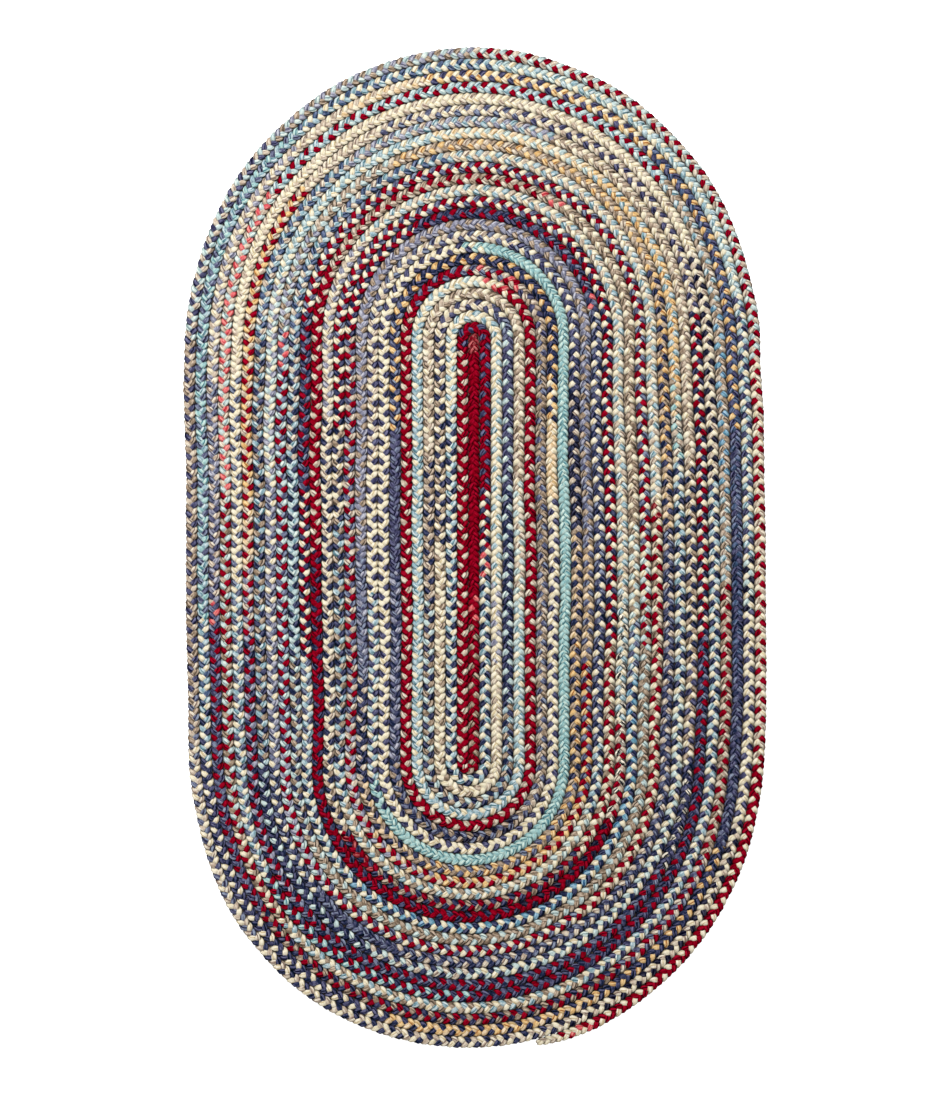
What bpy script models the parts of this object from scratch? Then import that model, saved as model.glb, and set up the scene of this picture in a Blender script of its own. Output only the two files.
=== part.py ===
"""Braided rug: one flat three-strand braid, wound clockwise into an oval and laced row to row.

Metres, +Z up, +Y along the rug. The origin is on the floor under the middle of the rug's box.
The rows of braid stand up as rounded ribs, with a laced seam sunk between each row and the next.
The braid starts at the far end of the centre row, comes towards -Y, turns left under the near
end, and goes round and round until its tapered end is tucked in at the lower right.
"""

import math

import bmesh
import bpy

# Driving sizes, in metres
BRAID_WIDTH = 0.01775  # also the distance from row to row
SPINE_LENGTH = 0.6646  # from the far turning centre to the near one
THICKNESS = 0.010
SEAM_HEIGHT = 0.0052  # the seams and the rim's widest line, above the floor
SHOULDER = 0.30  # where a rib's flat crown ends, as a share of the braid's width from its middle
UNDERSIDE_INSET = 0.0025  # how far the edge curls under before it meets the floor

# The winding
TURNS = 25  # rows on either side of the centre row
ARC_STEPS = 24  # sections in each half turn
SIDE_STEPS = 3  # sections along each straight side
END_STEP = 10  # the section of the last half turn where the braid ends
END_TAPER = (0.84, 0.45)  # the braid's width over its last sections, as a share of the full width

# How far the rim lies outside (+) or inside (-) the even oval, in millimetres, by bearing:
# degrees clockwise from +Y, seen from above. Inner rows follow it less, in proportion.
RIM_EASE = (
    # bearing, out_mm
    (0, 3.5),
    (14, -1.0),
    (29, -7.0),
    (44, -10.5),
    (54, -5.0),
    (66, 1.0),
    (90, 4.2),
    (118, 5.0),
    (136, -3.0),
    (155, -2.8),
    (180, 1.0),
    (198, 0.3),
    (210, -4.3),
    (226, -11.0),
    (236, -6.0),
    (262, -2.0),
    (285, -2.2),
    (300, 1.6),
    (318, -5.2),
    (334, -3.2),
    (348, 1.0),
    (360, 3.5),
)

HEATHER = (0.33, 0.28, 0.25, 1.0)  # the yarns' mean colour
HALF_SPINE = SPINE_LENGTH / 2
FAR_CENTRE = (0.0, HALF_SPINE)
NEAR_CENTRE = (-BRAID_WIDTH / 2, -HALF_SPINE)
RIM_OFFSET = (TURNS + 0.5) * BRAID_WIDTH
MERGE = 0.00001


def clear_scene():
    """Remove the scene's objects."""
    for thing in list(bpy.data.objects):
        bpy.data.objects.remove(thing, do_unlink=True)


def ease_at(x, y):
    """How far the rim is out at this bearing, in metres, between the table's rows."""
    bearing = math.degrees(math.atan2(x, y)) % 360
    for (low, low_mm), (high, high_mm) in zip(RIM_EASE, RIM_EASE[1:]):
        if low <= bearing <= high:
            share = (1 - math.cos(math.pi * (bearing - low) / (high - low))) / 2
            return (low_mm + (high_mm - low_mm) * share) / 1000
    return 0.0


def settle(x, y):
    """Where a point of the even oval lies in the rug as it was wound, a little unevenly."""
    spine_y = max(-HALF_SPINE, min(HALF_SPINE, y))
    across, along = x, y - spine_y
    offset = math.hypot(across, along)
    scale = 1 + ease_at(x, y) / RIM_OFFSET if offset else 1
    return across * scale, spine_y + along * scale


def arc_sections(centre, radius, start, steps):
    """Sections of a clockwise arc: a foot, an outward direction and the braid's offset on it."""
    for step in range(steps + 1):
        angle = start - math.pi * step / ARC_STEPS
        yield centre, (math.cos(angle), math.sin(angle)), radius


def side_sections(side, offset, upward):
    """Sections of a straight run on one side (-1 left, 1 right), at its offset from the spine."""
    for step in range(SIDE_STEPS + 1):
        y = -HALF_SPINE + SPINE_LENGTH * step / SIDE_STEPS
        yield (0.0, y if upward else -y), (side, 0.0), offset


def wound_sections():
    """Every section of the braid in order, from the centre row to the tapered end."""
    sections = list(side_sections(1, 0.0, False))
    for turn in range(1, TURNS + 1):
        near_radius = (turn - 0.5) * BRAID_WIDTH
        offset = turn * BRAID_WIDTH
        sections += arc_sections(NEAR_CENTRE, near_radius, 0.0, ARC_STEPS)
        sections += side_sections(-1, offset, True)
        sections += arc_sections(FAR_CENTRE, offset, math.pi, ARC_STEPS)
        sections += side_sections(1, offset, False)
    last_radius = (TURNS + 0.5) * BRAID_WIDTH
    sections += arc_sections(NEAR_CENTRE, last_radius, 0.0, END_STEP)
    widths = [1.0] * (len(sections) - len(END_TAPER)) + list(END_TAPER)
    return [(*section, width) for section, width in zip(sections, widths)]


def section_corners(section):
    """A rib's corners from its inner seam to its outer seam."""
    foot, outward, offset, width = section
    inner = offset - BRAID_WIDTH / 2
    across = BRAID_WIDTH * width
    rows = (
        (inner, SEAM_HEIGHT),
        (inner + across * (0.5 - SHOULDER), THICKNESS),
        (inner + across * (0.5 + SHOULDER), THICKNESS),
        (inner + across, SEAM_HEIGHT),
    )
    corners = []
    for distance, height in rows:
        x, y = settle(foot[0] + outward[0] * distance, foot[1] + outward[1] * distance)
        corners.append((x, y, height))
    return corners


def underside_corner(section):
    """Where the rim meets the floor, below a section of the outermost row."""
    foot, outward, offset, width = section
    distance = offset - BRAID_WIDTH / 2 + BRAID_WIDTH * width - UNDERSIDE_INSET
    x, y = settle(foot[0] + outward[0] * distance, foot[1] + outward[1] * distance)
    return x, y, 0.0


def add_face(mesh, corners):
    """Add one face through these corners, which later merge with their neighbours."""
    mesh.faces.new([mesh.verts.new(corner) for corner in corners])


def add_ribs(mesh, sections):
    """The top of every row: two flanks and a crown between each section and the next."""
    profiles = [section_corners(section) for section in sections]
    for near, far in zip(profiles, profiles[1:]):
        for row in range(3):
            add_face(mesh, (near[row], far[row], far[row + 1], near[row + 1]))


def add_start_cap(mesh):
    """The braid's rounded start, in the hollow of the first far turn."""
    half_turn = list(arc_sections(FAR_CENTRE, BRAID_WIDTH, math.pi, ARC_STEPS))
    seam = [section_corners((*section, 1.0))[0] for section in half_turn]
    crown = []
    for foot, outward, _ in half_turn:
        reach = SHOULDER * BRAID_WIDTH
        x, y = settle(foot[0] + outward[0] * reach, foot[1] + outward[1] * reach)
        crown.append((x, y, THICKNESS))
    for step in range(ARC_STEPS):
        add_face(mesh, (seam[step], seam[step + 1], crown[step + 1], crown[step]))
    add_face(mesh, crown[::-1])


def add_rim_and_underside(mesh, sections):
    """The edge that curls under all round, the braid's end, and the flat underside."""
    turn_sections = 2 * (ARC_STEPS + 1) + 2 * (SIDE_STEPS + 1)
    rim = sections[-turn_sections - 1 :]
    seam = [section_corners(section)[3] for section in rim]
    floor = [underside_corner(section) for section in rim]
    for step in range(len(rim) - 1):
        add_face(mesh, (seam[step], seam[step + 1], floor[step + 1], floor[step]))
    end = section_corners(rim[-1])
    add_face(mesh, (end[0], end[1], end[2], end[3]))
    add_face(mesh, (end[0], end[3], floor[-1], floor[0]))
    add_face(mesh, floor)


def close_body(mesh):
    """Join what meets, drop what has no area and turn every face outwards."""
    bmesh.ops.remove_doubles(mesh, verts=mesh.verts[:], dist=MERGE)
    bmesh.ops.dissolve_degenerate(mesh, edges=mesh.edges[:], dist=MERGE)
    bmesh.ops.triangulate(mesh, faces=[face for face in mesh.faces if len(face.verts) > 3])
    bmesh.ops.recalc_face_normals(mesh, faces=mesh.faces[:])


def wool_material():
    """Plain wool in the mean colour of the rug's yarns."""
    material = bpy.data.materials.new("braided_wool")
    material.use_nodes = True
    shader = material.node_tree.nodes["Principled BSDF"]
    shader.inputs["Base Color"].default_value = HEATHER
    shader.inputs["Roughness"].default_value = 0.95
    shader.inputs["Metallic"].default_value = 0.0
    return material


def centre_on_floor(thing):
    """Move the mesh so that the middle of its box's underside is the origin."""
    xs = [vertex.co.x for vertex in thing.data.vertices]
    ys = [vertex.co.y for vertex in thing.data.vertices]
    middle_x = (min(xs) + max(xs)) / 2
    middle_y = (min(ys) + max(ys)) / 2
    for vertex in thing.data.vertices:
        vertex.co.x -= middle_x
        vertex.co.y -= middle_y


def make_rug():
    """The whole rug as one closed solid."""
    sections = wound_sections()
    mesh = bmesh.new()
    add_ribs(mesh, sections)
    add_start_cap(mesh)
    add_rim_and_underside(mesh, sections)
    close_body(mesh)
    data = bpy.data.meshes.new("braided_rug")
    mesh.to_mesh(data)
    mesh.free()
    data.materials.append(wool_material())
    rug = bpy.data.objects.new("braided_rug", data)
    centre_on_floor(rug)
    data.shade_smooth()
    data.set_sharp_from_angle(angle=math.radians(40))
    collection = bpy.data.collections.new("braided_rug_parts")
    bpy.context.scene.collection.children.link(collection)
    collection.objects.link(rug)
    return rug


clear_scene()
make_rug()
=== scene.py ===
"""The braided rug's looks: three plaited strands of yarn along every turn of the winding.

Metres, +Z up, +Y along the rug. The winding repeats the solid's named sizes, so each strand lies
on its own row. A place on the winding is (turn, place): place runs from 0 to 4 round one turn,
0 to 1 through the near half turn (right to left), 1 to 2 up the left side, 2 to 3 through the
far half turn (left to right) and 3 to 4 down the right side.
"""

import math

import bpy
import numpy as np
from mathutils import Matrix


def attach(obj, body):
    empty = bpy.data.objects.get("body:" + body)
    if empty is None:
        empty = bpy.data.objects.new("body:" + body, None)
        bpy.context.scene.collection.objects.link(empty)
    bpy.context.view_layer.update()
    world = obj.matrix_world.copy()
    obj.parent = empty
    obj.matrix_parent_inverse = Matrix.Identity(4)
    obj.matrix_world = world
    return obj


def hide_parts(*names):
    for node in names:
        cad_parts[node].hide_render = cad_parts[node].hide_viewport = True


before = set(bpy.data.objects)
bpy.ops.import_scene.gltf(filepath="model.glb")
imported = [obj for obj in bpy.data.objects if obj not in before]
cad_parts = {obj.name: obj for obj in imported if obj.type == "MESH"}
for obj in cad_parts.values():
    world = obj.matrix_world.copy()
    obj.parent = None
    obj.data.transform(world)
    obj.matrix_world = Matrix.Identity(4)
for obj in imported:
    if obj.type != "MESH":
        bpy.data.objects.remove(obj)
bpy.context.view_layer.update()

# ---------------------------------------------------------------- sizes, as in the solid
BRAID_WIDTH = 0.01775
SPINE_LENGTH = 0.6646
TURNS = 25
HALF_SPINE = SPINE_LENGTH / 2
FAR_CENTRE = (0.0, HALF_SPINE)
NEAR_CENTRE = (-BRAID_WIDTH / 2, -HALF_SPINE)
RIM_OFFSET = (TURNS + 0.5) * BRAID_WIDTH
LAST_PLACE = 75 / 180  # where the braid ends in its last near half turn
TIP_REACH = 0.009  # how far the soft tip lies beyond the solid's end
TAPER_LENGTH = 0.090  # over which the tucked end narrows
TAPER_WIDTH = 0.50  # of the full width, at the very end
START_LEAD = 0.008  # how far the braid starts beyond the far turning centre
RIM_STEPS = 4000  # points round the rim that find the rug's middle

# How far the rim lies outside (+) or inside (-) the even oval, as in the solid
RIM_EASE = (
    # bearing in degrees clockwise from +Y, out_mm
    (0, 3.5),
    (14, -1.0),
    (29, -7.0),
    (44, -10.5),
    (54, -5.0),
    (66, 1.0),
    (90, 4.2),
    (118, 5.0),
    (136, -3.0),
    (155, -2.8),
    (180, 1.0),
    (198, 0.3),
    (210, -4.3),
    (226, -11.0),
    (236, -6.0),
    (262, -2.0),
    (285, -2.2),
    (300, 1.6),
    (318, -5.2),
    (334, -3.2),
    (348, 1.0),
    (360, 3.5),
)

# ---------------------------------------------------------------- the plait
STITCH_PERIOD = 0.0302  # braid length in which each strand comes back to its place
STEPS = 11  # rings of points along each strand in one period
TOP_STEPS = 0.42  # how much closer the rings are on top than where the strand dips under
# The points round a strand, as shares of its half width and half height: broad on top
STRAND_SECTION = (
    # across, up
    (0.0, 1.0),
    (-0.74, 0.84),
    (-1.0, 0.0),
    (0.0, -1.0),
    (1.0, 0.0),
    (0.74, 0.84),
)
SIDES = len(STRAND_SECTION)
TIGHT_TURN = 0.0279  # the length of the first near half turn, where the braid is pulled round
TIGHT_TURN_EXTRA = 0.29  # periods more than its length would hold
SWING = 0.0056  # how far a strand swings to either side
ZIGZAG = 0.11  # how straight it runs from edge to edge: 0 is a sine
RISE = 0.0027  # how far it rises over the others and dips under them
RISE_HOLD = 0.7  # how quickly it reaches its full height: 0 is a sine
STRAND_HALF_WIDTH = 0.0042  # where it turns over, at the braid's edges and middle
STRAND_SWELL = 0.12  # how much wider it is where it lies on top or underneath
STRAND_HALF_HEIGHT = 0.0024
MID_HEIGHT = 0.0052  # of the braid's middle above the floor
START_WIDTH = 0.45  # of the full width, at the braid's very start
STRAND_SEED = 100

# How unevenly a strand was plaited: the unevenness's wavelength along the braid in metres,
# and its size, in metres for the drift and otherwise as a share
UNEVEN_SWING = (0.013, 0.05)
UNEVEN_DRIFT = (0.021, 0.00018)
UNEVEN_RISE = (0.011, 0.06)
UNEVEN_WIDTH = (0.009, 0.05)
UNEVEN_HEIGHT = (0.009, 0.06)

# ---------------------------------------------------------------- the lacing, dark as painted shade between the rows
LACING_HEIGHT = (0.0036, 0.0050)  # of its underside and its top above the floor
LACING_INSET = 0.0045  # from the rim
LACING_STEPS = 400  # points round its outline
LACING_SHADOWED_TONES = ((58, 44, 42), (104, 88, 78))  # as sRGB: linen thread darkened as in shade, painted shade in the gaps between the rows
LACING_ROUGHNESS = 0.9
LACING_GRAIN = 900.0  # how fine its flecks are, over the whole layer

# ---------------------------------------------------------------- the wool
PLIES = 11  # fine yarns round a strand
PLY_TWIST = 9.0  # turns that they make in a metre of strand
OWN_TONE = 0.55  # how much of a ply's tone is its own
DRIFT_TONE = 1.3  # how much of it drifts along the ply
TONE_BASE = 0.43  # taken off the sum of both
DRIFT_STEP = 7.3  # how far apart in the noise two plies next to each other are
DRIFT_RATE = 130.0  # how far the noise runs on in a metre of strand
DRIFT_DETAIL = 4.0
DEEP_AT = 0.25  # the deep tone's place in the colour ramp
MAIN_AT = 0.5
PALE_AT = 0.75
PAINTED_GROOVE_SHADE = 0.68  # painted shade, as a share of the tone, in the groove between two plies
PAINTED_RIDGE_LIGHT = 0.42  # painted highlight added to that shade on a ply's ridge
PAINTED_CREASE_START = 0.17  # turns round a strand from its top, where the painted shade along its edge starts
PAINTED_CREASE_END = 0.31  # and where that painted shade is darkest
DARKEST_SHADE_HEIGHT = 0.0045  # at which the painted shade in the hollows is darkest
UNSHADED_HEIGHT = 0.0080  # above which the wool has its full tone, with no painted shade
PAINTED_HOLLOW_SHADE = (0.0, 0.6)  # painted shade in the hollows, as a share of that tone, in the darkest and the palest yarn
PAINTED_CREASE_SHADE = (0.2, 0.6)  # the same for the painted shade along a strand's edges
RIDGE_RELIEF = 0.0005  # how high a ply's ridge stands
WOOL_ROUGHNESS = 0.92

# ---------------------------------------------------------------- the bake map
BAKE_BANDS = 27  # bands in which a piece's strands are laid out
BAND_MARGIN = 0.06  # of a band's height, left free on each side
MAP_START = 1.15  # where a piece's yarn map starts, in metres for each metre of braid before it
NEARLY = 1e-9  # so that a ring right at a piece's start counts as in it

# ---------------------------------------------------------------- floor, light and camera
PIXEL = 0.001566  # metres of rug in one pixel of the 950 x 1097 picture
PICTURE = (950, 1097)
SPINE_MIDDLE_PIXEL = (473.9, 551.1)  # where the winding's own origin lies in the picture
CAMERA_HEIGHT = 6.0
SENSOR_WIDTH = 36  # in millimetres
CLIP_END = 50
FLOOR_HALF = 8.0  # of the floor's side
FLOOR_COLOR = (0.93, 0.93, 0.93, 1)
FLOOR_GLOW = 0.8
WHITE = (1.0, 1.0, 1.0, 1)
WORLD_STRENGTH = 0.64
KEY_PLACE = (-1.3, 3.2, 3.8)
KEY_SIZE = 1.6
KEY_WATTS = 260

# ---------------------------------------------------------------- the yarns
YARN_TONES = {
    # yarn: (deep tone, main tone, pale tone), as sRGB
    "red": ((60, 0, 10), (130, 0, 20), (160, 10, 40)),
    "rose": ((80, 0, 10), (130, 10, 30), (190, 100, 100)),
    "pink": ((170, 40, 50), (210, 80, 90), (230, 150, 140)),
    "cream": ((200, 180, 140), (230, 220, 190), (240, 230, 210)),
    "linen": ((120, 100, 90), (190, 170, 150), (230, 220, 200)),
    "taupe": ((70, 60, 50), (140, 120, 100), (200, 180, 160)),
    "navy": ((0, 10, 20), (30, 40, 70), (90, 90, 120)),
    "indigo": ((10, 10, 40), (60, 60, 90), (110, 110, 140)),
    "denim": ((20, 30, 50), (60, 80, 110), (120, 130, 160)),
    "slate": ((30, 30, 50), (80, 80, 110), (140, 150, 170)),
    "ash": ((80, 80, 100), (130, 130, 150), (190, 190, 200)),
    "aqua": ((70, 120, 130), (150, 190, 190), (200, 220, 210)),
    "light_blue": ((70, 110, 120), (140, 170, 180), (210, 220, 220)),
    "mint": ((120, 140, 140), (180, 200, 200), (220, 230, 220)),
    "sky": ((40, 80, 120), (100, 150, 170), (160, 190, 210)),
    "gold": ((160, 100, 50), (220, 180, 120), (240, 210, 160)),
    "straw": ((180, 150, 100), (220, 190, 150), (240, 220, 190)),
    "fleck": ((0, 0, 10), (70, 70, 70), (250, 240, 220)),
    "black": ((0, 0, 20), (20, 20, 40), (70, 70, 90)),
}

# The three strands' yarns, from each place on the winding to the next. The outer edge shows
# a, c and b in turn. keep_strands turns a row where one of its yarns goes on.
YARN_RUNS = (
    # turn, place, strand_a, strand_b, strand_c
    (0, 2.90, "rose", "rose", "rose"),
    (0, 3.035, "red", "red", "red"),
    (0, 3.60, "red", "red", "pink"),
    (0, 3.675, "red", "red", "taupe"),
    (1, 0.50, "red", "red", "linen"),
    (1, 1.97, "red", "red", "indigo"),
    (1, 3.36, "cream", "red", "navy"),
    (1, 3.49, "cream", "pink", "navy"),
    (1, 3.56, "cream", "light_blue", "navy"),
    (2, 1.83, "cream", "light_blue", "cream"),
    (2, 3.58, "cream", "ash", "cream"),
    (2, 3.76, "cream", "linen", "cream"),
    (3, 0.40, "cream", "taupe", "cream"),
    (3, 1.52, "navy", "taupe", "cream"),
    (3, 2.00, "indigo", "linen", "cream"),
    (3, 2.66, "indigo", "slate", "cream"),
    (3, 2.82, "slate", "slate", "mint"),
    (3, 3.00, "indigo", "indigo", "mint"),
    (3, 3.35, "navy", "navy", "mint"),
    (3, 3.85, "navy", "taupe", "light_blue"),
    (4, 0.30, "navy", "taupe", "mint"),
    (4, 1.38, "navy", "taupe", "linen"),
    (4, 1.72, "linen", "taupe", "cream"),
    (4, 3.33, "mint", "linen", "cream"),
    (4, 3.62, "light_blue", "mint", "cream"),
    (5, 0.00, "light_blue", "light_blue", "cream"),
    (5, 2.05, "light_blue", "cream", "cream"),
    (5, 2.35, "mint", "cream", "cream"),
    (5, 2.54, "pink", "cream", "cream"),
    (5, 2.62, "red", "pink", "cream"),
    (5, 2.70, "red", "red", "linen"),
    (6, 2.17, "red", "slate", "red"),
    (6, 2.45, "red", "slate", "linen"),
    (6, 2.52, "pink", "slate", "linen"),
    (6, 2.56, "red", "slate", "linen"),
    (6, 2.64, "red", "pink", "linen"),
    (6, 2.74, "linen", "indigo", "taupe"),
    (6, 3.00, "taupe", "slate", "taupe"),
    (6, 3.55, "linen", "slate", "taupe"),
    (7, 0.28, "black", "slate", "taupe"),
    (7, 0.55, "navy", "slate", "taupe"),
    (7, 1.00, "navy", "slate", "ash"),
    (7, 1.45, "indigo", "indigo", "slate"),
    (7, 1.78, "navy", "slate", "gold"),
    (7, 2.20, "navy", "navy", "gold"),
    (7, 3.10, "navy", "cream", "gold"),
    (7, 3.20, "straw", "cream", "straw"),
    (7, 3.38, "cream", "indigo", "cream"),
    (8, 2.46, "indigo", "cream", "aqua"),
    (8, 2.50, "aqua", "cream", "aqua"),
    (8, 2.54, "aqua", "aqua", "aqua"),
    (9, 0.83, "aqua", "navy", "aqua"),
    (9, 0.94, "cream", "indigo", "light_blue"),
    (9, 1.40, "cream", "indigo", "cream"),
    (9, 1.70, "cream", "indigo", "linen"),
    (9, 2.05, "cream", "slate", "linen"),
    (9, 2.62, "cream", "slate", "indigo"),
    (9, 3.02, "cream", "indigo", "navy"),
    (9, 3.12, "linen", "black", "navy"),
    (9, 3.45, "straw", "taupe", "navy"),
    (9, 3.70, "gold", "taupe", "navy"),
    (10, 0.05, "gold", "taupe", "slate"),
    (10, 0.62, "straw", "taupe", "navy"),
    (10, 0.95, "linen", "navy", "navy"),
    (10, 1.20, "ash", "slate", "slate"),
    (10, 1.50, "ash", "taupe", "ash"),
    (10, 3.00, "ash", "taupe", "slate"),
    (10, 3.48, "straw", "taupe", "slate"),
    (10, 3.76, "gold", "red", "slate"),
    (11, 0.10, "gold", "red", "linen"),
    (11, 0.60, "straw", "red", "ash"),
    (11, 0.80, "linen", "red", "ash"),
    (11, 1.10, "linen", "red", "slate"),
    (11, 2.00, "cream", "red", "navy"),
    (11, 2.34, "indigo", "red", "navy"),
    (11, 2.60, "slate", "red", "navy"),
    (11, 2.88, "slate", "pink", "navy"),
    (11, 2.92, "slate", "cream", "navy"),
    (11, 3.95, "light_blue", "cream", "navy"),
    (12, 0.12, "mint", "cream", "taupe"),
    (12, 0.40, "light_blue", "cream", "taupe"),
    (12, 0.90, "light_blue", "cream", "navy"),
    (12, 1.02, "light_blue", "taupe", "navy"),
    (12, 1.58, "cream", "taupe", "navy"),
    (12, 1.78, "cream", "red", "navy"),
    (12, 2.00, "cream", "red", "slate"),
    (12, 2.75, "cream", "red", "navy"),
    (12, 3.72, "cream", "red", "taupe"),
    (13, 0.22, "navy", "red", "taupe"),
    (13, 0.72, "navy", "red", "rose"),
    (13, 0.84, "navy", "cream", "taupe"),
    (13, 1.00, "navy", "cream", "linen"),
    (13, 1.82, "ash", "cream", "linen"),
    (13, 2.22, "light_blue", "cream", "linen"),
    (13, 3.60, "light_blue", "cream", "fleck"),
    (13, 3.90, "red", "linen", "fleck"),
    (14, 0.12, "red", "red", "black"),
    (14, 0.40, "red", "red", "navy"),
    (14, 1.50, "red", "red", "linen"),
    (14, 2.14, "red", "taupe", "linen"),
    (14, 2.64, "pink", "taupe", "linen"),
    (14, 2.69, "taupe", "taupe", "cream"),
    (14, 3.44, "mint", "taupe", "cream"),
    (14, 3.66, "light_blue", "cream", "slate"),
    (14, 3.80, "sky", "navy", "cream"),
    (15, 0.75, "light_blue", "navy", "cream"),
    (15, 1.00, "light_blue", "slate", "cream"),
    (15, 1.25, "red", "navy", "cream"),
    (15, 1.64, "red", "navy", "slate"),
    (15, 2.05, "red", "slate", "cream"),
    (15, 3.48, "red", "mint", "cream"),
    (15, 3.62, "red", "mint", "taupe"),
    (15, 3.72, "taupe", "mint", "taupe"),
    (16, 0.86, "navy", "mint", "taupe"),
    (16, 1.25, "navy", "mint", "light_blue"),
    (16, 1.72, "linen", "light_blue", "navy"),
    (16, 2.00, "linen", "light_blue", "denim"),
    (16, 2.46, "cream", "linen", "light_blue"),
    (16, 3.38, "rose", "linen", "cream"),
    (16, 3.42, "red", "cream", "taupe"),
    (16, 3.66, "red", "taupe", "cream"),
    (17, 0.30, "red", "slate", "cream"),
    (17, 0.78, "red", "ash", "mint"),
    (17, 1.02, "red", "slate", "mint"),
    (17, 1.93, "pink", "slate", "mint"),
    (17, 2.02, "taupe", "ash", "mint"),
    (17, 2.20, "taupe", "linen", "mint"),
    (17, 2.36, "taupe", "linen", "gold"),
    (17, 2.88, "taupe", "navy", "gold"),
    (17, 3.30, "taupe", "navy", "straw"),
    (17, 3.45, "linen", "navy", "slate"),
    (18, 0.62, "slate", "navy", "slate"),
    (18, 0.78, "cream", "navy", "slate"),
    (18, 1.00, "cream", "ash", "slate"),
    (18, 1.66, "cream", "ash", "mint"),
    (18, 2.10, "cream", "light_blue", "mint"),
    (18, 2.44, "cream", "straw", "mint"),
    (18, 2.70, "straw", "gold", "light_blue"),
    (18, 3.10, "taupe", "straw", "aqua"),
    (18, 3.18, "fleck", "linen", "aqua"),
    (18, 3.28, "cream", "navy", "light_blue"),
    (18, 3.80, "cream", "navy", "mint"),
    (19, 0.50, "linen", "navy", "mint"),
    (19, 0.66, "mint", "navy", "navy"),
    (19, 1.00, "light_blue", "navy", "taupe"),
    (19, 2.00, "light_blue", "denim", "linen"),
    (19, 2.30, "light_blue", "ash", "linen"),
    (19, 2.62, "cream", "taupe", "linen"),
    (19, 3.30, "cream", "taupe", "navy"),
    (19, 3.75, "cream", "taupe", "indigo"),
    (20, 0.00, "indigo", "fleck", "navy"),
    (20, 0.16, "red", "slate", "navy"),
    (20, 0.78, "red", "ash", "navy"),
    (20, 1.30, "red", "ash", "linen"),
    (20, 1.46, "red", "straw", "linen"),
    (20, 1.60, "red", "gold", "linen"),
    (20, 2.23, "cream", "linen", "linen"),
    (20, 2.36, "slate", "linen", "cream"),
    (20, 2.56, "indigo", "linen", "cream"),
    (20, 2.96, "cream", "navy", "red"),
    (20, 3.70, "navy", "red", "slate"),
    (21, 0.00, "navy", "red", "indigo"),
    (21, 0.50, "aqua", "navy", "red"),
    (21, 0.84, "light_blue", "slate", "cream"),
    (21, 1.42, "cream", "slate", "cream"),
    (21, 1.92, "cream", "linen", "cream"),
    (21, 2.88, "cream", "linen", "black"),
    (21, 3.34, "cream", "light_blue", "navy"),
    (22, 0.00, "cream", "light_blue", "indigo"),
    (22, 0.34, "cream", "light_blue", "taupe"),
    (22, 0.77, "cream", "red", "taupe"),
    (22, 0.91, "mint", "red", "taupe"),
    (22, 1.60, "mint", "red", "linen"),
    (22, 1.64, "mint", "pink", "linen"),
    (22, 2.20, "mint", "red", "light_blue"),
    (22, 2.78, "linen", "taupe", "light_blue"),
    (22, 2.96, "linen", "taupe", "sky"),
    (22, 3.36, "linen", "taupe", "light_blue"),
    (22, 3.58, "linen", "taupe", "red"),
    (23, 0.12, "red", "slate", "linen"),
    (23, 0.30, "red", "navy", "taupe"),
    (23, 0.80, "slate", "indigo", "red"),
    (23, 1.32, "slate", "indigo", "pink"),
    (23, 1.38, "ash", "indigo", "linen"),
    (23, 1.60, "ash", "slate", "linen"),
    (23, 1.90, "ash", "linen", "cream"),
    (23, 2.26, "linen", "linen", "cream"),
    (23, 2.33, "linen", "straw", "cream"),
    (23, 2.44, "gold", "indigo", "cream"),
    (23, 2.74, "gold", "denim", "indigo"),
    (23, 3.22, "indigo", "denim", "slate"),
    (23, 3.50, "indigo", "denim", "navy"),
    (23, 3.80, "indigo", "slate", "navy"),
    (24, 0.10, "navy", "gold", "navy"),
    (24, 0.34, "navy", "gold", "straw"),
    (24, 0.60, "cream", "navy", "indigo"),
    (24, 1.00, "navy", "light_blue", "cream"),
    (24, 1.14, "denim", "light_blue", "cream"),
    (24, 1.34, "light_blue", "slate", "aqua"),
    (24, 2.28, "light_blue", "denim", "cream"),
    (24, 2.52, "light_blue", "cream", "mint"),
    (24, 2.95, "light_blue", "cream", "indigo"),
    (24, 3.52, "mint", "cream", "black"),
    (24, 3.64, "cream", "cream", "indigo"),
    (25, 0.07, "linen", "cream", "black"),
    (25, 0.40, "linen", "cream", "navy"),
    (25, 0.78, "linen", "cream", "slate"),
    (25, 1.05, "linen", "taupe", "slate"),
    (25, 1.17, "linen", "taupe", "indigo"),
    (25, 2.00, "mint", "linen", "indigo"),
    (25, 2.25, "mint", "taupe", "ash"),
    (25, 2.50, "mint", "linen", "red"),
    (25, 3.05, "cream", "linen", "red"),
    (26, 0.00, "cream", "red", "red"),
    (26, 0.355, "cream", "pink", "red"),
    (26, 0.372, "cream", "pink", "cream"),
    (26, 0.384, "cream", "red", "cream"),
    (26, 0.398, "cream", "cream", "linen"),
)


# ---------------------------------------------------------------- the winding
def smooth_between(keys, values, at):
    """Values at some places, eased between the keys as half cosines."""
    keys, values = np.asarray(keys, float), np.asarray(values, float)
    after = np.clip(np.searchsorted(keys, at, side="right"), 1, len(keys) - 1)
    share = (at - keys[after - 1]) / (keys[after] - keys[after - 1])
    share = (1 - np.cos(np.pi * np.clip(share, 0, 1))) / 2
    return values[after - 1] + (values[after] - values[after - 1]) * share


def settle(x, y):
    """Where points of the even oval lie in the rug as it was wound, a little unevenly."""
    spine_y = np.clip(y, -HALF_SPINE, HALF_SPINE)
    bearing = np.degrees(np.arctan2(x, y)) % 360
    bearings, out_mm = zip(*RIM_EASE)
    scale = 1 + smooth_between(bearings, out_mm, bearing) / 1000 / RIM_OFFSET
    return x * scale, spine_y + (y - spine_y) * scale


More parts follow.
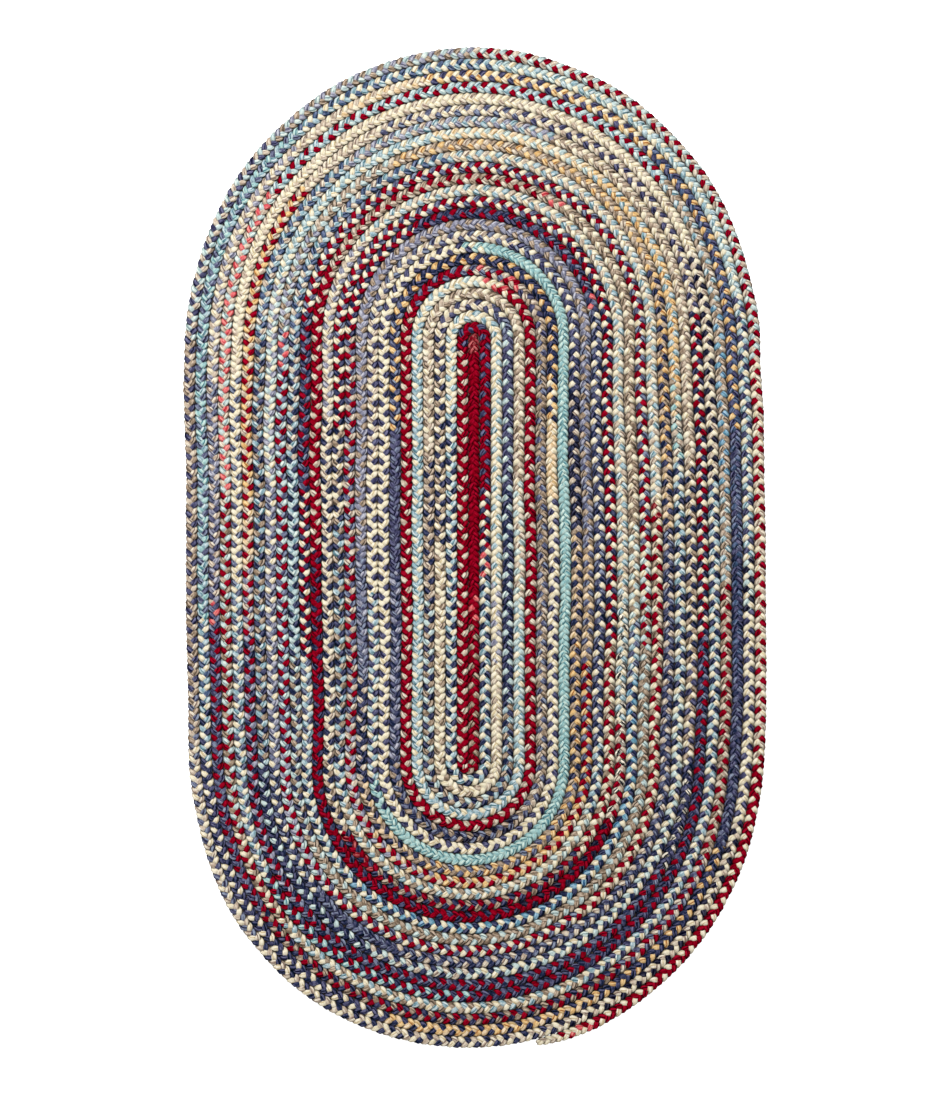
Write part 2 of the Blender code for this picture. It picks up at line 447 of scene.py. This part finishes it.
def run_lengths():
    """The winding as runs in order: turn, whole place and length of each."""
    runs = [(0, 3, SPINE_LENGTH)]
    for turn in range(1, TURNS + 1):
        near, far = math.pi * (turn - 0.5) * BRAID_WIDTH, math.pi * turn * BRAID_WIDTH
        runs += [(turn, 0, near), (turn, 1, SPINE_LENGTH), (turn, 2, far), (turn, 3, SPINE_LENGTH)]
    runs.append((TURNS + 1, 0, math.pi * RIM_OFFSET))
    return runs


RUNS = run_lengths()
RUN_TURN = np.array([run[0] for run in RUNS])
RUN_PLACE = np.array([run[1] for run in RUNS])
RUN_LENGTH = np.array([run[2] for run in RUNS])
RUN_START = np.concatenate(([0.0], np.cumsum(RUN_LENGTH)))[:-1]
BRAID_END = RUN_START[-1] + RUN_LENGTH[-1] * LAST_PLACE + TIP_REACH


def distance_to(turn, place):
    """How far along the braid a place is."""
    whole = min(int(place), 3)
    run = int(np.nonzero((RUN_TURN == turn) & (RUN_PLACE == whole))[0][0]) if turn else 0
    start_place = 3 if turn == 0 else whole
    return RUN_START[run] + RUN_LENGTH[run] * (place - start_place)


def lay(along, across):
    """Points on the wound braid: metres along it, and metres outwards from its middle line."""
    run = np.clip(np.searchsorted(RUN_START, along, side="right") - 1, 0, len(RUNS) - 1)
    turn, kind = RUN_TURN[run], RUN_PLACE[run]
    share = (along - RUN_START[run]) / RUN_LENGTH[run]
    angle = np.where(kind == 0, -math.pi * share, math.pi * (1 - share))
    rounded = kind % 2 == 0
    side = np.where(kind == 1, -1.0, 1.0)
    out_x = np.where(rounded, np.cos(angle), side)
    out_y = np.where(rounded, np.sin(angle), 0.0)
    foot_x = np.where(kind == 0, NEAR_CENTRE[0], 0.0)
    straight_y = np.where(kind == 1, -HALF_SPINE, HALF_SPINE) - side * SPINE_LENGTH * share
    foot_y = np.select([kind == 0, kind == 2], [NEAR_CENTRE[1], FAR_CENTRE[1]], straight_y)
    offset = (turn - np.where(kind == 0, 0.5, 0.0)) * BRAID_WIDTH + across
    return settle(foot_x + out_x * offset, foot_y + out_y * offset)


def middle_of_rug():
    """The middle of the rug's box in the winding's own frame, which the solid is moved by."""
    last_turn = np.linspace(distance_to(TURNS, LAST_PLACE), BRAID_END, RIM_STEPS)
    x, y = lay(last_turn, np.full_like(last_turn, BRAID_WIDTH / 2))
    return (x.min() + x.max()) / 2, (y.min() + y.max()) / 2


MIDDLE = middle_of_rug()


# ---------------------------------------------------------------- the strands
def wander(rng, along, unevenness):
    """A slow seeded unevenness along the braid."""
    wavelength, size = unevenness
    knots = np.arange(along.min() - wavelength, along.max() + 2 * wavelength, wavelength)
    return smooth_between(knots, rng.normal(0, size, len(knots)), along)


def plait_phase(even, strand):
    """Each ring's phase in a strand's stitch and its distance along the braid: closest on top."""
    in_tight_turn = np.clip(even, SPINE_LENGTH, SPINE_LENGTH + TIGHT_TURN)
    even_phase = 2 * np.pi * (even / STITCH_PERIOD + strand / 3)
    even_phase += 2 * np.pi * TIGHT_TURN_EXTRA * (in_tight_turn - SPINE_LENGTH) / TIGHT_TURN
    phase = even_phase + TOP_STEPS / 2 * np.cos(2 * even_phase)
    along = even + (phase - even_phase) / (2 * np.pi) * STITCH_PERIOD
    return phase, along


def width_shares(along):
    """The braid's width as a share of the full one, and whether it is in the tapered end."""
    left = np.clip((BRAID_END - along) / TAPER_LENGTH, 0, 1)
    start = np.clip((along + START_LEAD) / (2 * START_LEAD), 0, 1)
    tapered = TAPER_WIDTH + (1 - TAPER_WIDTH) * np.sqrt(left)
    width = tapered * (START_WIDTH + (1 - START_WIDTH) * np.sqrt(start))
    return width, left < 1


def rings_round(middle, half_width, half_height):
    """A ring of points round each point of a strand's middle line, square to the line."""
    tangent = np.gradient(middle, axis=0)
    tangent /= np.linalg.norm(tangent, axis=1, keepdims=True)
    wide = np.stack([-tangent[:, 1], tangent[:, 0], np.zeros(len(middle))], axis=1)
    wide /= np.linalg.norm(wide, axis=1, keepdims=True)
    thin = np.cross(tangent, wide)
    rings = []
    for across_share, up_share in STRAND_SECTION:
        sideways = wide * (half_width * across_share)[:, None]
        upwards = thin * (half_height * up_share)[:, None]
        rings.append(middle + sideways + upwards)
    rings = np.stack(rings, axis=1)
    rings[:, :, 2] = np.maximum(rings[:, :, 2], 0.0)  # pressed flat where it meets the floor
    return rings


def strand_rings(strand):
    """A strand's rings of points along the whole braid, with the distance along it."""
    rng = np.random.default_rng(STRAND_SEED + strand)
    even = np.arange(-START_LEAD, BRAID_END, STITCH_PERIOD / STEPS)
    phase, along = plait_phase(even, strand)
    width, in_taper = width_shares(along)
    swing = SWING * width * (1 + wander(rng, along, UNEVEN_SWING))
    across = swing * (np.sin(phase) - ZIGZAG * np.sin(3 * phase)) / (1 + ZIGZAG)
    across += wander(rng, along, UNEVEN_DRIFT)
    across -= (1 - width) * np.where(in_taper, BRAID_WIDTH / 2, 0)
    over = np.sin(2 * phase)
    lift = over * (1 + RISE_HOLD - RISE_HOLD * over**2)
    height = MID_HEIGHT + RISE * (1 + wander(rng, along, UNEVEN_RISE)) * lift
    x, y = lay(along, across)
    middle = np.stack([x - MIDDLE[0], y - MIDDLE[1], height], axis=1)
    half_width = STRAND_HALF_WIDTH * width * (1 + STRAND_SWELL * over**2)
    half_width *= 1 + wander(rng, along, UNEVEN_WIDTH)
    half_height = STRAND_HALF_HEIGHT * np.sqrt(width) * (1 + wander(rng, along, UNEVEN_HEIGHT))
    return along, rings_round(middle, half_width, half_height)


def keep_strands(runs):
    """The runs with each row turned so that a yarn that goes on stays in its strand."""
    kept = [list(runs[0][2:])]
    for _, _, *yarns in runs[1:]:
        turned = [yarns[step:] + yarns[:step] for step in range(3)]
        same = [sum(new == old for new, old in zip(row, kept[-1])) for row in turned]
        kept.append(turned[same.index(max(same))])
    return kept


STRAND_YARNS = keep_strands(YARN_RUNS)


def yarn_at(along, strand):
    """The number of each place's yarn in YARN_TONES, for one strand."""
    names = list(YARN_TONES)
    starts = np.array([distance_to(turn, place) for turn, place, *_ in YARN_RUNS])
    yarns = np.array([names.index(row[strand]) for row in STRAND_YARNS])
    return yarns[np.clip(np.searchsorted(starts, along, side="right") - 1, 0, len(starts) - 1)]


# ---------------------------------------------------------------- materials
def linear(srgb):
    """A shader colour from an sRGB one in 0 to 255."""
    parts = [part / 255 for part in srgb]
    curve = [p / 12.92 if p <= 0.04045 else ((p + 0.055) / 1.055) ** 2.4 for p in parts]
    return (*curve, 1.0)


def add_node(tree, kind, **settings):
    """A new node in a material's tree, with its settings."""
    node = tree.nodes.new(kind)
    for name, value in settings.items():
        setattr(node, name, value)
    return node


def maths(tree, operation, first, second=None):
    """A Math node on sockets or numbers, and its result."""
    node = add_node(tree, "ShaderNodeMath", operation=operation)
    for socket, value in zip(node.inputs, (first, second)):
        if value is None:
            continue
        if isinstance(value, (int, float)):
            socket.default_value = value
        else:
            tree.links.new(value, socket)
    return node.outputs[0]


def painted_shade_for(shades, tones):
    """A yarn's painted shade between those of the darkest and the palest, by its main tone's
    green.
    """
    dark, pale = shades
    return dark + (pale - dark) * tones[1][1] / 255


def eased_range(tree, value, start, end, low, high):
    """A value that goes smoothly from low to high while another goes from start to end."""
    node = add_node(tree, "ShaderNodeMapRange", interpolation_type="SMOOTHSTEP")
    node.inputs["From Min"].default_value = start
    node.inputs["From Max"].default_value = end
    node.inputs["To Min"].default_value = low
    node.inputs["To Max"].default_value = high
    tree.links.new(value, node.inputs["Value"])
    return node.outputs["Result"]


def ply_colour(tree, ply, length, tones):
    """The colour of a ply: a tone of its own, which drifts along it."""
    own = add_node(tree, "ShaderNodeTexWhiteNoise", noise_dimensions="1D")
    tree.links.new(ply, own.inputs["W"])
    spot = add_node(tree, "ShaderNodeCombineXYZ")
    tree.links.new(maths(tree, "MULTIPLY", ply, DRIFT_STEP), spot.inputs[0])
    tree.links.new(maths(tree, "MULTIPLY", length, DRIFT_RATE), spot.inputs[1])
    drift = add_node(tree, "ShaderNodeTexNoise", noise_dimensions="3D")
    drift.inputs["Scale"].default_value = 1.0
    drift.inputs["Detail"].default_value = DRIFT_DETAIL
    tree.links.new(spot.outputs[0], drift.inputs["Vector"])
    own_share = maths(tree, "MULTIPLY", own.outputs["Value"], OWN_TONE)
    drift_share = maths(tree, "MULTIPLY", drift.outputs["Fac"], DRIFT_TONE)
    tone = maths(tree, "ADD", own_share, drift_share)
    ramp = add_node(tree, "ShaderNodeValToRGB")
    deep, main, pale = (linear(srgb) for srgb in tones)
    ramp.color_ramp.elements[0].position = DEEP_AT
    ramp.color_ramp.elements[0].color = deep
    ramp.color_ramp.elements[1].position = PALE_AT
    ramp.color_ramp.elements[1].color = pale
    middle = ramp.color_ramp.elements.new(MAIN_AT)
    middle.color = main
    tree.links.new(maths(tree, "SUBTRACT", tone, TONE_BASE), ramp.inputs["Fac"])
    return ramp.outputs["Color"]


def painted_yarn_shade(tree, ridge, around, tones):
    """How dark the painted shade is between the plies, along the strand's edges and in the
    hollows, with a painted highlight on the ply ridges.
    """
    # painted shade in the grooves between plies, and a painted highlight on their ridges
    painted_ply_shade = maths(tree, "ADD", maths(tree, "MULTIPLY", ridge, PAINTED_RIDGE_LIGHT), PAINTED_GROOVE_SHADE)
    # painted shade along a strand's edges, where it presses against the next strand
    from_top = maths(tree, "PINGPONG", around, 0.5)
    crease_shade_depth = painted_shade_for(PAINTED_CREASE_SHADE, tones)
    painted_crease = eased_range(tree, from_top, PAINTED_CREASE_START, PAINTED_CREASE_END, 1.0, crease_shade_depth)
    # painted shade in the hollows: the lower the wool lies, the darker it is painted
    where = add_node(tree, "ShaderNodeTexCoord")
    height = add_node(tree, "ShaderNodeSeparateXYZ")
    tree.links.new(where.outputs["Object"], height.inputs[0])
    hollow_shade_depth = painted_shade_for(PAINTED_HOLLOW_SHADE, tones)
    painted_hollow = eased_range(tree, height.outputs[2], DARKEST_SHADE_HEIGHT, UNSHADED_HEIGHT, hollow_shade_depth, 1.0)
    return maths(tree, "MULTIPLY", maths(tree, "MULTIPLY", painted_ply_shade, painted_crease), painted_hollow)


def yarn_material(name, tones):
    """Matt spun yarn: fine plies side by side, each in its own tone, with raised ridges, painted
    highlights on them and painted shade.
    """
    material = bpy.data.materials.new(f"yarn_{name}")
    material.use_nodes = True
    tree = material.node_tree
    shader = tree.nodes["Principled BSDF"]
    shader.inputs["Roughness"].default_value = WOOL_ROUGHNESS
    shader.inputs["Specular IOR Level"].default_value = 0.0
    yarn_map = add_node(tree, "ShaderNodeUVMap", uv_map="yarn")
    split = add_node(tree, "ShaderNodeSeparateXYZ")
    tree.links.new(yarn_map.outputs[0], split.inputs[0])
    length, around = split.outputs[0], split.outputs[1]
    twist = maths(tree, "MULTIPLY", length, PLY_TWIST)
    place = maths(tree, "MULTIPLY", maths(tree, "ADD", around, twist), PLIES)
    ply = maths(tree, "FLOOR", place)
    colour = ply_colour(tree, maths(tree, "FLOORED_MODULO", ply, PLIES), length, tones)
    across_ply = maths(tree, "SUBTRACT", place, ply)
    ridge = maths(tree, "SINE", maths(tree, "MULTIPLY", across_ply, math.pi))
    # the yarn's colour times its painted shade and highlight
    with_painted_shade = add_node(tree, "ShaderNodeMix", data_type="RGBA", blend_type="MULTIPLY")
    with_painted_shade.inputs["Factor"].default_value = 1.0
    tree.links.new(colour, with_painted_shade.inputs["A"])
    tree.links.new(painted_yarn_shade(tree, ridge, around, tones), with_painted_shade.inputs["B"])
    tree.links.new(with_painted_shade.outputs["Result"], shader.inputs["Base Color"])
    bump = add_node(tree, "ShaderNodeBump")
    bump.inputs["Strength"].default_value = 1.0
    bump.inputs["Distance"].default_value = RIDGE_RELIEF
    tree.links.new(ridge, bump.inputs["Height"])
    tree.links.new(bump.outputs["Normal"], shader.inputs["Normal"])
    return material


def shadowed_lacing_material():
    """Linen thread hidden between the strands, darkened as in shade: painted shade in the gaps
    between the rows.
    """
    material = bpy.data.materials.new("lacing_thread_shadowed")
    material.use_nodes = True
    tree = material.node_tree
    shader = tree.nodes["Principled BSDF"]
    shader.inputs["Roughness"].default_value = LACING_ROUGHNESS
    noise = add_node(tree, "ShaderNodeTexNoise")
    noise.inputs["Scale"].default_value = LACING_GRAIN
    ramp = add_node(tree, "ShaderNodeValToRGB")
    ramp.color_ramp.elements[0].color = linear(LACING_SHADOWED_TONES[0])
    ramp.color_ramp.elements[1].color = linear(LACING_SHADOWED_TONES[1])
    tree.links.new(noise.outputs["Fac"], ramp.inputs["Fac"])
    tree.links.new(ramp.outputs["Color"], shader.inputs["Base Color"])
    return material


YARN_MATERIALS = [yarn_material(name, tones) for name, tones in YARN_TONES.items()]


# ---------------------------------------------------------------- pieces
def strand_faces(first, count):
    """The side faces of a tube of rings, from the number of its first point."""
    ring = np.arange(count - 1)[:, None] * SIDES + first
    side = np.arange(SIDES)[None, :]
    following = (side + 1) % SIDES
    quads = np.stack(
        [ring + side, ring + following, ring + SIDES + following, ring + SIDES + side], axis=-1
    )
    return quads.reshape(-1, 4)


def corner_map(near, far, low, high):
    """The UV corners of faces that reach from near to far along u and from low to high along v."""
    corners = np.broadcast_arrays(near, low, near, high, far, high, far, low)
    return np.stack(corners, axis=-1).reshape(-1, 2)


def strand_map(along, rings):
    """A strand's yarn map: metres of strand along u, and turns round it along v."""
    steps = np.linalg.norm(np.diff(rings.mean(axis=1), axis=0), axis=1)
    length = np.concatenate(([0.0], np.cumsum(steps))) + along[0] * MAP_START
    side = np.arange(SIDES)[None, :]
    return corner_map(length[:-1, None], length[1:, None], side / SIDES, (side + 1) / SIDES)


def bake_map(step, per_band):
    """Where the faces of each step of a strand lie on its piece's bake map, in bands."""
    band, column = step // per_band, step % per_band
    edges = np.arange(SIDES + 1)[None, :] / SIDES
    heights = (band + BAND_MARGIN + (1 - 2 * BAND_MARGIN) * edges) / (BAKE_BANDS + 1)
    return corner_map(column / per_band, (column + 1) / per_band, heights[:, :-1], heights[:, 1:])


def tube_mesh(name, points, quads, caps):
    """A mesh of quads and of end caps, each cap being its points' numbers in order."""
    corners = np.concatenate([quads.ravel(), *caps])
    sizes = np.concatenate([np.full(len(quads), 4), np.full(len(caps), SIDES)])
    starts = np.cumsum(sizes) - sizes
    mesh = bpy.data.meshes.new(name)
    mesh.vertices.add(len(points))
    mesh.vertices.foreach_set("co", points.ravel())
    mesh.loops.add(len(corners))
    mesh.loops.foreach_set("vertex_index", corners.astype(np.int32))
    mesh.polygons.add(len(sizes))
    mesh.polygons.foreach_set("loop_start", starts.astype(np.int32))
    mesh.polygons.foreach_set("loop_total", sizes.astype(np.int32))
    return mesh


def add_yarns(mesh, face_yarns):
    """Give each face the material of its yarn."""
    used = sorted(set(face_yarns.tolist()))
    for number in used:
        mesh.materials.append(YARN_MATERIALS[number])
    slots = np.searchsorted(used, face_yarns)
    mesh.polygons.foreach_set("material_index", slots.astype(np.int32))


def braid_piece(name, strands, low, high):
    """One turn of the braid, from one distance along it to another, as one mesh."""
    points, faces, yarns, caps, cap_yarns = [], [], [], [], []
    yarn_maps, bake_maps = [], []
    first = 0
    per_band = 0
    for strand, (all_along, all_rings) in enumerate(strands):
        overlap = STITCH_PERIOD / STEPS
        inside = (all_along >= low - NEARLY) & (all_along <= high + overlap)
        along, rings = all_along[inside], all_rings[inside]
        count = len(along)
        per_band = per_band or math.ceil(3 * count / BAKE_BANDS)
        points.append(rings.reshape(-1, 3))
        faces.append(strand_faces(first, count))
        yarns.append(np.repeat(yarn_at((along[:-1] + along[1:]) / 2, strand), SIDES))
        yarn_maps.append(strand_map(along, rings))
        bake_maps.append(bake_map(np.arange(count - 1)[:, None] + strand * count, per_band))
        ring = np.arange(first, first + SIDES)
        caps += [ring[::-1], ring + (count - 1) * SIDES]
        cap_yarns += [yarns[-1][0], yarns[-1][-1]]
        first += count * SIDES
    mesh = tube_mesh(name, np.concatenate(points), np.concatenate(faces), caps)
    add_yarns(mesh, np.concatenate([*yarns, cap_yarns]))
    cap_map = np.zeros((len(caps) * SIDES, 2))
    for label, maps in (("yarn", yarn_maps), ("OFBake", bake_maps)):
        corners = np.concatenate([*maps, cap_map])
        layer = mesh.uv_layers.new(name=label)
        layer.data.foreach_set("uv", corners.ravel().astype(np.float32))
    mesh.update(calc_edges=True)
    mesh.shade_smooth()
    piece = bpy.data.objects.new(name, mesh)
    bpy.context.scene.collection.objects.link(piece)
    return piece


def make_braid():
    """The whole braid, one piece for each turn."""
    strands = [strand_rings(strand) for strand in range(3)]
    bounds = [-START_LEAD] + [distance_to(turn, 0) for turn in range(1, TURNS + 2)] + [BRAID_END]
    return [
        braid_piece(f"braid_turn_{turn:02d}", strands, low, high)
        for turn, (low, high) in enumerate(zip(bounds, bounds[1:]))
    ]


def make_lacing():
    """The lacing that joins the rows at half height, as one thin layer hidden in the braid, which
    shows as painted shade in the gaps between the rows.
    """
    last_turn = np.linspace(
        distance_to(TURNS, LAST_PLACE), BRAID_END - TAPER_LENGTH, LACING_STEPS
    )
    x, y = lay(last_turn, np.full_like(last_turn, BRAID_WIDTH / 2 - LACING_INSET))
    x, y = x - MIDDLE[0], y - MIDDLE[1]
    count = len(x)
    low = [(float(a), float(b), LACING_HEIGHT[0]) for a, b in zip(x, y)]
    high = [(float(a), float(b), LACING_HEIGHT[1]) for a, b in zip(x, y)]
    underside = tuple(range(count))
    top = tuple(range(count, 2 * count))[::-1]
    edge = [
        (step, count + step, count + (step + 1) % count, (step + 1) % count)
        for step in range(count)
    ]
    faces = [underside, top, *edge]
    mesh = bpy.data.meshes.new("lacing")
    mesh.from_pydata(low + high, [], faces)
    mesh.validate()
    # a dark layer: real lacing thread, and painted shade where it shows between the rows
    mesh.materials.append(shadowed_lacing_material())
    piece = bpy.data.objects.new("lacing", mesh)
    bpy.context.scene.collection.objects.link(piece)
    return piece


braid = make_braid()
lacing = make_lacing()
for piece in [*braid, lacing]:
    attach(piece, "root")
    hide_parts("braided_rug")


# ---------------------------------------------------------------- the studio
def floor_material():
    """A pale matt floor that glows a little, so that it stays white."""
    material = bpy.data.materials.new("pale_floor")
    material.use_nodes = True
    shader = material.node_tree.nodes["Principled BSDF"]
    shader.inputs["Base Color"].default_value = FLOOR_COLOR
    shader.inputs["Roughness"].default_value = 1.0
    shader.inputs["Emission Color"].default_value = WHITE
    shader.inputs["Emission Strength"].default_value = FLOOR_GLOW
    shader.inputs["Specular IOR Level"].default_value = 0.0
    return material


def make_floor():
    """A square of floor under the rug."""
    mesh = bpy.data.meshes.new("floor")
    corners = [
        (-FLOOR_HALF, -FLOOR_HALF, 0),
        (FLOOR_HALF, -FLOOR_HALF, 0),
        (FLOOR_HALF, FLOOR_HALF, 0),
        (-FLOOR_HALF, FLOOR_HALF, 0),
    ]
    mesh.from_pydata(corners, [], [(0, 1, 2, 3)])
    mesh.materials.append(floor_material())
    thing = bpy.data.objects.new("floor", mesh)
    bpy.context.scene.collection.objects.link(thing)
    return thing


def make_world():
    """Even white light from all round."""
    world = bpy.data.worlds.new("studio")
    world.use_nodes = True
    background = world.node_tree.nodes["Background"]
    background.inputs["Color"].default_value = WHITE
    background.inputs["Strength"].default_value = WORLD_STRENGTH
    bpy.context.scene.world = world


def add_area_light(name, place, size, watts):
    """A square studio light that looks at the rug's middle."""
    data = bpy.data.lights.new(name, "AREA")
    data.size = size
    data.energy = watts
    light = bpy.data.objects.new(name, data)
    light.location = place
    x, y, z = place
    light.rotation_euler = (math.atan2(math.hypot(x, y), z), 0, math.atan2(x, -y))
    bpy.context.scene.collection.objects.link(light)


def make_camera():
    """The camera straight above the rug, which fills the picture as in the photo."""
    data = bpy.data.cameras.new("camera")
    data.sensor_width = SENSOR_WIDTH
    data.lens = SENSOR_WIDTH * CAMERA_HEIGHT / (PICTURE[1] * PIXEL)
    data.clip_end = CLIP_END
    camera = bpy.data.objects.new("camera", data)
    camera.location = (
        (PICTURE[0] / 2 - SPINE_MIDDLE_PIXEL[0]) * PIXEL - MIDDLE[0],
        (SPINE_MIDDLE_PIXEL[1] - PICTURE[1] / 2) * PIXEL - MIDDLE[1],
        CAMERA_HEIGHT,
    )
    bpy.context.scene.collection.objects.link(camera)
    bpy.context.scene.camera = camera


floor = make_floor()
make_world()
add_area_light("key_light", KEY_PLACE, KEY_SIZE, KEY_WATTS)
make_camera()
bpy.context.scene.view_settings.view_transform = "Standard"
